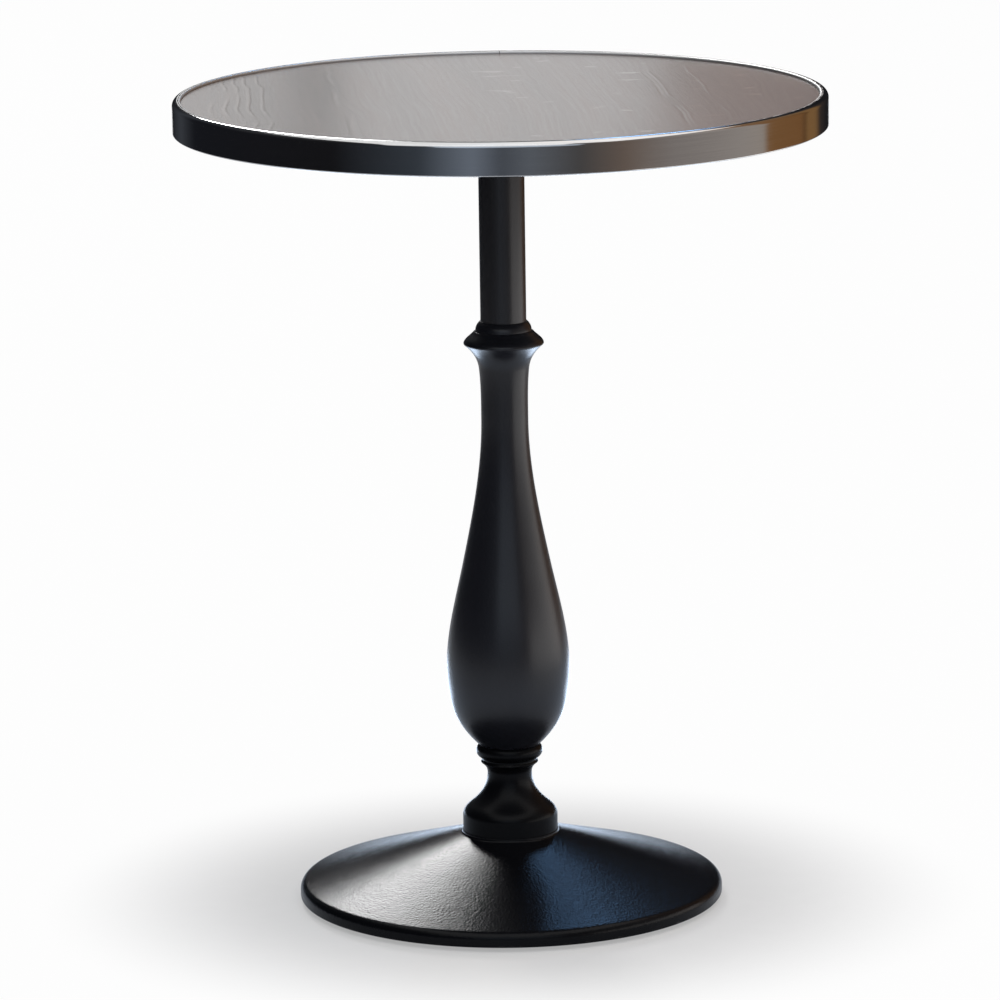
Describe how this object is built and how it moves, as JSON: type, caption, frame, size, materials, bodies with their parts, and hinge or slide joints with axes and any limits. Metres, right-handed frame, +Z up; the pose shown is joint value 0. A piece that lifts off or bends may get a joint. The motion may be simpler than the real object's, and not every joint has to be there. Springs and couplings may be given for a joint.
{
  "type": "bistro table",
  "caption": "Round bistro table: wood-grain top in a steel edge band on a black baluster pedestal with a conical cast base and screw-in levelling feet.",
  "frame": {"origin": "on the floor, under the middle of the table, with the levelling feet screwed home", "axes": "+Z up along the pedestal's axis; the feet stand on the diagonals between X and Y; -Y is the side that the picture shows"},
  "size_m": [0.5999, 0.6, 0.758],
  "materials": {
    "wood_laminate": "dark wood grain under satin lacquer",
    "board": "raw chipboard",
    "backing_laminate": "matt dark brown balancing sheet",
    "stainless_band": "satin-polished stainless sheet",
    "black_casting": "satin black enamel",
    "black_base": "semi-gloss black enamel over a cast skin",
    "black_tube": "satin black enamel",
    "zinc_steel": "bright zinc plate",
    "foot_plastic": "moulded black nylon"
  },
  "bodies": {
    "table": {"top_laminate": "wood_laminate", "board_core": "board", "underside_laminate": "backing_laminate", "edge_band": "stainless_band", "top_spider": "black_casting", "spider_screws": "zinc_steel", "pole_tube": "black_tube", "pole_collar": "black_casting", "baluster": "black_casting", "spool": "black_casting", "pedestal_base": "black_base", "tie_rod": "zinc_steel", "top_nut": "zinc_steel", "top_washer": "zinc_steel", "base_nut": "zinc_steel", "base_washer": "zinc_steel"},
    "foot_1": {"foot_pad_1": "foot_plastic"},
    "stud_1": {"foot_stud_1": "zinc_steel"},
    "foot_2": {"foot_pad_2": "foot_plastic"},
    "stud_2": {"foot_stud_2": "zinc_steel"},
    "foot_3": {"foot_pad_3": "foot_plastic"},
    "stud_3": {"foot_stud_3": "zinc_steel"},
    "foot_4": {"foot_pad_4": "foot_plastic"},
    "stud_4": {"foot_stud_4": "zinc_steel"}
  },
  "joints": [
    {"name": "foot_1_height", "type": "slide", "parent": "table", "child": "foot_1", "axis": [0, 0, -1], "range_m": [0, 0.0075]},
    {"name": "stud_1_turn", "type": "hinge", "parent": "foot_1", "child": "stud_1", "pos_m": [0.1096, 0.1096, 0.01], "axis": [0, 0, -1], "range_deg": [0, 2160]},
    {"name": "foot_2_height", "type": "slide", "parent": "table", "child": "foot_2", "axis": [0, 0, -1], "range_m": [0, 0.0075]},
    {"name": "stud_2_turn", "type": "hinge", "parent": "foot_2", "child": "stud_2", "pos_m": [-0.1096, 0.1096, 0.01], "axis": [0, 0, -1], "range_deg": [0, 2160]},
    {"name": "foot_3_height", "type": "slide", "parent": "table", "child": "foot_3", "axis": [0, 0, -1], "range_m": [0, 0.0075]},
    {"name": "stud_3_turn", "type": "hinge", "parent": "foot_3", "child": "stud_3", "pos_m": [-0.1096, -0.1096, 0.01], "axis": [0, 0, -1], "range_deg": [0, 2160]},
    {"name": "foot_4_height", "type": "slide", "parent": "table", "child": "foot_4", "axis": [0, 0, -1], "range_m": [0, 0.0075]},
    {"name": "stud_4_turn", "type": "hinge", "parent": "foot_4", "child": "stud_4", "pos_m": [0.1096, -0.1096, 0.01], "axis": [0, 0, -1], "range_deg": [0, 2160]}
  ],
  "couplings": [
    {"joint": "foot_1_height", "follows": "stud_1_turn", "m_per_rad": 0.00019894},
    {"joint": "foot_2_height", "follows": "stud_2_turn", "m_per_rad": 0.00019894},
    {"joint": "foot_3_height", "follows": "stud_3_turn", "m_per_rad": 0.00019894},
    {"joint": "foot_4_height", "follows": "stud_4_turn", "m_per_rad": 0.00019894}
  ]
}
